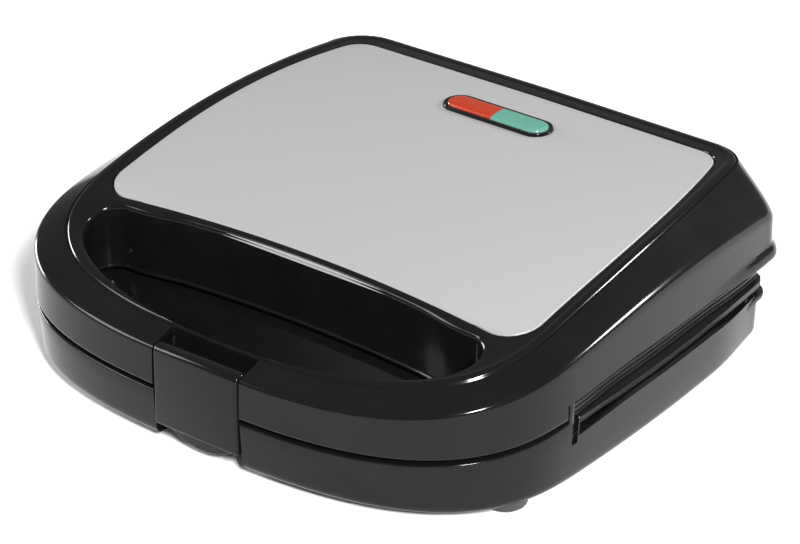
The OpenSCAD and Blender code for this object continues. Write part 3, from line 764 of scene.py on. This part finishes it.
def latch_tab():
    bm = bmesh.new()
    bmesh.ops.create_circle(bm, cap_ends=True, segments=160, radius=TAB_RADIUS)
    bmesh.ops.rotate(bm, matrix=Matrix.Rotation(math.pi / 2, 3, "X"), verts=bm.verts[:])
    bmesh.ops.translate(bm, vec=(0, latch_low.y + FLAP_THICK, latch_low.z + TAB_RADIUS), verts=bm.verts[:])
    for place, way in (((0, 0, 10.5 * MM), (0, 0, 1)), ((TAB_HALF, 0, 0), (1, 0, 0)),
                       ((-TAB_HALF, 0, 0), (-1, 0, 0))):
        bmesh.ops.bisect_plane(bm, geom=bm.verts[:] + bm.edges[:] + bm.faces[:], plane_co=place, plane_no=way,
                               clear_outer=True)
    grown = bmesh.ops.extrude_face_region(bm, geom=bm.faces[:])["geom"]
    bmesh.ops.translate(bm, vec=(0, TAB_THICK, 0), verts=[v for v in grown if isinstance(v, bmesh.types.BMVert)])
    tidy(bm)
    edges = [e for e in bm.edges if e.calc_face_angle(0) > math.radians(50)]
    bmesh.ops.bevel(bm, geom=edges, offset=0.6 * MM, offset_type="OFFSET", segments=3, affect="EDGES",
                    profile=0.5, material=-1)
    return piece("latch_pull", bm)


flap = latch_piece()
tab = latch_tab()
print("latch", len(flap.data.polygons) + len(tab.data.polygons), "faces")

# %% [markdown]
# ## Feet
# Each foot is a turned rubber plug, so a profile is spun about an upright axis. A bevelled cylinder would do as
# well, but the spun profile gives the large round of the lower edge directly.

# %% Feet
def turned(name, profile, x, y, steps=48, sharp=32):
    """A solid of revolution about an upright axis through x and y."""
    bm = bmesh.new()
    verts = [bm.verts.new((radius, 0, height)) for radius, height in profile]
    edges = [bm.edges.new(pair) for pair in zip(verts, verts[1:])]
    bmesh.ops.spin(bm, geom=verts + edges, cent=(0, 0, 0), axis=(0, 0, 1), angle=2 * math.pi, steps=steps,
                   use_merge=True)
    bmesh.ops.translate(bm, vec=(x, y, 0), verts=bm.verts[:])
    tidy(bm)
    return piece(name, bm, sharp)


def foot(name):
    low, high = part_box(name)
    r = (high.x - low.x) / 2
    profile = [(0, low.z), (r - 3 * MM, low.z), (r - 1.7 * MM, low.z + 0.25 * MM), (r - 0.6 * MM, low.z + 1.1 * MM),
               (r - 0.1 * MM, low.z + 2.6 * MM), (r, low.z + 4 * MM), (r, high.z), (0, high.z)]
    return turned(name.replace("foot", "pad"), profile, (low.x + high.x) / 2, (low.y + high.y) / 2)


FEET = ("foot_front_left", "foot_front_right", "foot_rear_left", "foot_rear_right")
feet = {name: foot(name) for name in FEET}
print("feet", sum(len(obj.data.polygons) for obj in feet.values()), "faces")

# %% [markdown]
# ## Cooking plates
# A plate is a flat sheet with six cups on one side. The cups and the ring-shaped wells are turned shapes: the cups
# are joined to the sheet and the wells are cut from both. The mouth of each well flares, which leaves the soft lip
# that a cast and coated plate has.

# %% Cooking plates
RING_R = 16.25 * MM
RING_HALF = 8.75 * MM
RING_DEEP = 9 * MM
WELL_STEP_X = 62 * MM
WELL_STEP_Y = 57 * MM
SHEET_THICK = 3 * MM


def well_profile(z, way):
    """Section of the ring-shaped well, from its open mouth down one side and up the other."""
    inner = RING_R - RING_HALF
    outer = RING_R + RING_HALF
    points = [(inner - 1.4 * MM, z - way * 3 * MM), (inner - 1.1 * MM, z + way * 0.02 * MM),
              (inner - 0.5 * MM, z + way * 0.2 * MM), (inner, z + way * 0.9 * MM)]
    for i in range(13):
        a = math.pi * i / 12
        rise = RING_DEEP - RING_HALF + RING_HALF * math.sin(a) + 0.1 * MM
        points.append((RING_R - RING_HALF * math.cos(a), z + way * rise))
    points += [(outer, z + way * 0.9 * MM), (outer + 0.5 * MM, z + way * 0.2 * MM),
               (outer + 1.1 * MM, z + way * 0.02 * MM), (outer + 1.4 * MM, z - way * 3 * MM)]
    return points + points[:1]


def cooking_plate(name, node, way):
    """A plate whose cups hang down (way -1) or stand up (way 1)."""
    low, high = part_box(node)
    z = high.z if way < 0 else low.z
    sheet = block(name, (low.x, high.x), (low.y, high.y), sorted((z, z + way * SHEET_THICK)), bevel=0.5 * MM)
    y_middle = (low.y + high.y) / 2
    cups = []
    wells = []
    for x in (-WELL_STEP_X, 0, WELL_STEP_X):
        for y in (y_middle - WELL_STEP_Y / 2, y_middle + WELL_STEP_Y / 2):
            far = (high.z - low.z) * way + z
            cup = [(0, z + way * MM), (27 * MM, z + way * MM), (27 * MM, z + way * 7 * MM),
                   (25.6 * MM, z + way * 9 * MM), (23 * MM, far), (9 * MM, far), (5.5 * MM, z + way * 8 * MM),
                   (5.5 * MM, z + way * 2.2 * MM), (0, z + way * 2.2 * MM)]
            cups.append(turned("cup", cup, x, y, 64))
            wells.append(turned("well", well_profile(z, way), x, y, 64))
    cut(sheet, cups, operation="UNION")
    cut(sheet, wells)
    return sheet


lower_plate = cooking_plate("lower_wells", "lower_plate", -1)
upper_plate = cooking_plate("upper_wells", "upper_plate", 1)
print("plates", len(lower_plate.data.polygons), len(upper_plate.data.polygons), "faces")

# %% [markdown]
# ## Finishes
# Every finish is one Principled shader whose colour, roughness and surface vary a little with a noise in the
# piece's own coordinates. Image textures would need an unwrap of every piece; the noise sits on any shape.

# %% Finishes
def material(name, colour, rough, metal=0.0, spread=0.15, grain=900, bump=0.02, coat=0.0, shine=0.5):
    """A finish whose colour, roughness and surface vary a little with a noise of its own scale."""
    m = bpy.data.materials.new(name)
    m.use_nodes = True
    nodes = m.node_tree.nodes
    links = m.node_tree.links
    shader = nodes["Principled BSDF"]
    shader.inputs["Metallic"].default_value = metal
    shader.inputs["Coat Weight"].default_value = coat
    shader.inputs["Specular IOR Level"].default_value = shine
    coords = nodes.new("ShaderNodeTexCoord")
    noise = nodes.new("ShaderNodeTexNoise")
    noise.inputs["Scale"].default_value = grain
    noise.inputs["Detail"].default_value = 3
    links.new(coords.outputs["Object"], noise.inputs["Vector"])
    tone = nodes.new("ShaderNodeValToRGB")
    tone.color_ramp.elements[0].position = 0.3
    tone.color_ramp.elements[1].position = 0.7
    tone.color_ramp.elements[0].color = (*[c * (1 - spread) for c in colour], 1)
    tone.color_ramp.elements[1].color = (*[min(1, c * (1 + spread)) for c in colour], 1)
    links.new(noise.outputs["Fac"], tone.inputs["Fac"])
    links.new(tone.outputs["Color"], shader.inputs["Base Color"])
    spread_rough = nodes.new("ShaderNodeMapRange")
    spread_rough.inputs["To Min"].default_value = rough * 0.85
    spread_rough.inputs["To Max"].default_value = rough * 1.15
    links.new(noise.outputs["Fac"], spread_rough.inputs["Value"])
    links.new(spread_rough.outputs["Result"], shader.inputs["Roughness"])
    height = nodes.new("ShaderNodeBump")
    height.inputs["Strength"].default_value = bump
    height.inputs["Distance"].default_value = 0.0002
    links.new(noise.outputs["Fac"], height.inputs["Height"])
    links.new(height.outputs["Normal"], shader.inputs["Normal"])
    return m


gloss = material("black_gloss", (0.004, 0.004, 0.0045), 0.12, grain=60, bump=0.01, shine=0.17)
matte = material("black_matte", (0.005, 0.005, 0.005), 0.38, bump=0.1, shine=0.3)
steel_satin = material("steel_satin", (0.33, 0.33, 0.33), 0.5, metal=0.35, spread=0.03, grain=2500, bump=0.05,
                       shine=0.3)
non_stick = material("non_stick", (0.05, 0.05, 0.052), 0.35, spread=0.4, grain=3000, bump=0.08)
rubber = material("black_rubber", (0.02, 0.02, 0.02), 0.6, bump=0.15)
zinc = material("zinc_steel", (0.55, 0.55, 0.57), 0.3, metal=1.0, spread=0.08)
aluminium = material("bright_aluminium", (0.75, 0.75, 0.77), 0.25, metal=1.0, spread=0.05)
element = material("element_metal", (0.25, 0.22, 0.2), 0.45, metal=1.0, spread=0.2)
white = material("white_plastic", (0.75, 0.75, 0.7), 0.4)
bakelite = material("brown_bakelite", (0.12, 0.06, 0.035), 0.4)
yellow = material("wire_yellow", (0.7, 0.62, 0.15), 0.45)
lamp_glass = material("lamp_glass", (0.7, 0.6, 0.5), 0.1)
red_glass = material("lens_red", (0.27, 0.022, 0.006), 0.16, shine=0.3, spread=0.05)
green_glass = material("lens_green", (0.07, 0.2, 0.155), 0.16, shine=0.3, spread=0.05)
FINISHES = {"black_gloss": gloss, "black_matte": matte, "steel_satin": steel_satin, "non_stick": non_stick,
            "black_rubber": rubber, "zinc_steel": zinc, "bright_aluminium": aluminium, "element_metal": element,
            "white_plastic": white, "brown_bakelite": bakelite, "wire_yellow": yellow, "lamp_glass": lamp_glass,
            "lens_red": red_glass, "lens_green": green_glass}


def dress(obj, body, slot, *nodes):
    """Give a new piece its finish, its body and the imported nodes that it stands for."""
    obj.data.materials.clear()
    obj.data.materials.append(FINISHES[slot])
    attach(obj, body)
    if nodes:
        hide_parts(*nodes)


dress(lid, "lid", "black_gloss", "lid_housing")
dress(base, "base", "black_gloss", "base_housing")
dress(plate, "lid", "steel_satin", "top_plate")
dress(bezel, "lid", "black_gloss", "lamp_bezel")
dress(red, "lid", "lens_red", "lens_red")
dress(green, "lid", "lens_green", "lens_green")
dress(seal, "lid", "black_matte", "upper_frame")
dress(flange, "base", "black_matte")
dress(opening_lip, "lid", "black_gloss")
for post in posts:
    dress(post, "lid", "black_gloss")
dress(lower_plate, "base", "non_stick", "lower_plate")
dress(upper_plate, "lid", "non_stick", "upper_plate")
for name, pad in feet.items():
    dress(pad, "base", "black_rubber", name)
dress(flap, "latch", "black_gloss", "latch")
dress(tab, "latch", "black_gloss", "latch")
slot_of = {part["node"]: part["material_slot"] for part in frame["record"]["subparts"]}
for name, node in frame["nodes"].items():
    node.data.materials.clear()
    node.data.materials.append(FINISHES[slot_of[name]])
print("finishes", len(FINISHES), "on", len(frame["nodes"]), "packed nodes")

# %% [markdown]
# ## Stage
# The floor is plain and nearly white. A key light stands in front on the right, a low strip on the left draws the
# bright line along the front of the lid, and two weaker lights fill the floor. A single large overhead panel would
# be simpler, but the glossy black faces would mirror it as a grey sheet.

# %% Stage
def add_floor():
    bm = bmesh.new()
    bmesh.ops.create_grid(bm, x_segments=1, y_segments=1, size=6)
    floor = piece("floor", bm)
    m = bpy.data.materials.new("floor")
    m.use_nodes = True
    m.node_tree.nodes["Principled BSDF"].inputs["Base Color"].default_value = (0.9, 0.9, 0.9, 1)
    m.node_tree.nodes["Principled BSDF"].inputs["Roughness"].default_value = 0.8
    m.node_tree.nodes["Principled BSDF"].inputs["Specular IOR Level"].default_value = 0.1
    floor.data.materials.append(m)


def add_light(name, place, size, power, target=(0, 0, 0.03)):
    light = bpy.data.objects.new(name, bpy.data.lights.new(name, "AREA"))
    light.data.shape = "RECTANGLE"
    light.data.size, light.data.size_y = size
    light.data.energy = power
    light.location = place
    light.rotation_euler = (Vector(target) - Vector(place)).to_track_quat("-Z", "Y").to_euler()
    bpy.context.scene.collection.objects.link(light)


def add_world(strength):
    world = bpy.data.worlds.new("studio")
    world.use_nodes = True
    world.node_tree.nodes["Background"].inputs["Color"].default_value = (1, 1, 1, 1)
    world.node_tree.nodes["Background"].inputs["Strength"].default_value = strength
    bpy.context.scene.world = world


add_floor()
add_world(0.32)
add_light("key", (1.95, -1.5, 1.7), (0.5, 0.5), 190)
add_light("streak", (-2.3, 0.0, 0.3), (0.9, 0.5), 42)
add_light("right", (2.2, 2.1, 1.2), (0.5, 0.5), 110)
add_light("left", (-2.2, -1.5, 1.6), (0.9, 1.2), 45)
bpy.context.scene.view_settings.view_transform = "Standard"
bpy.context.scene.view_settings.look = "None"
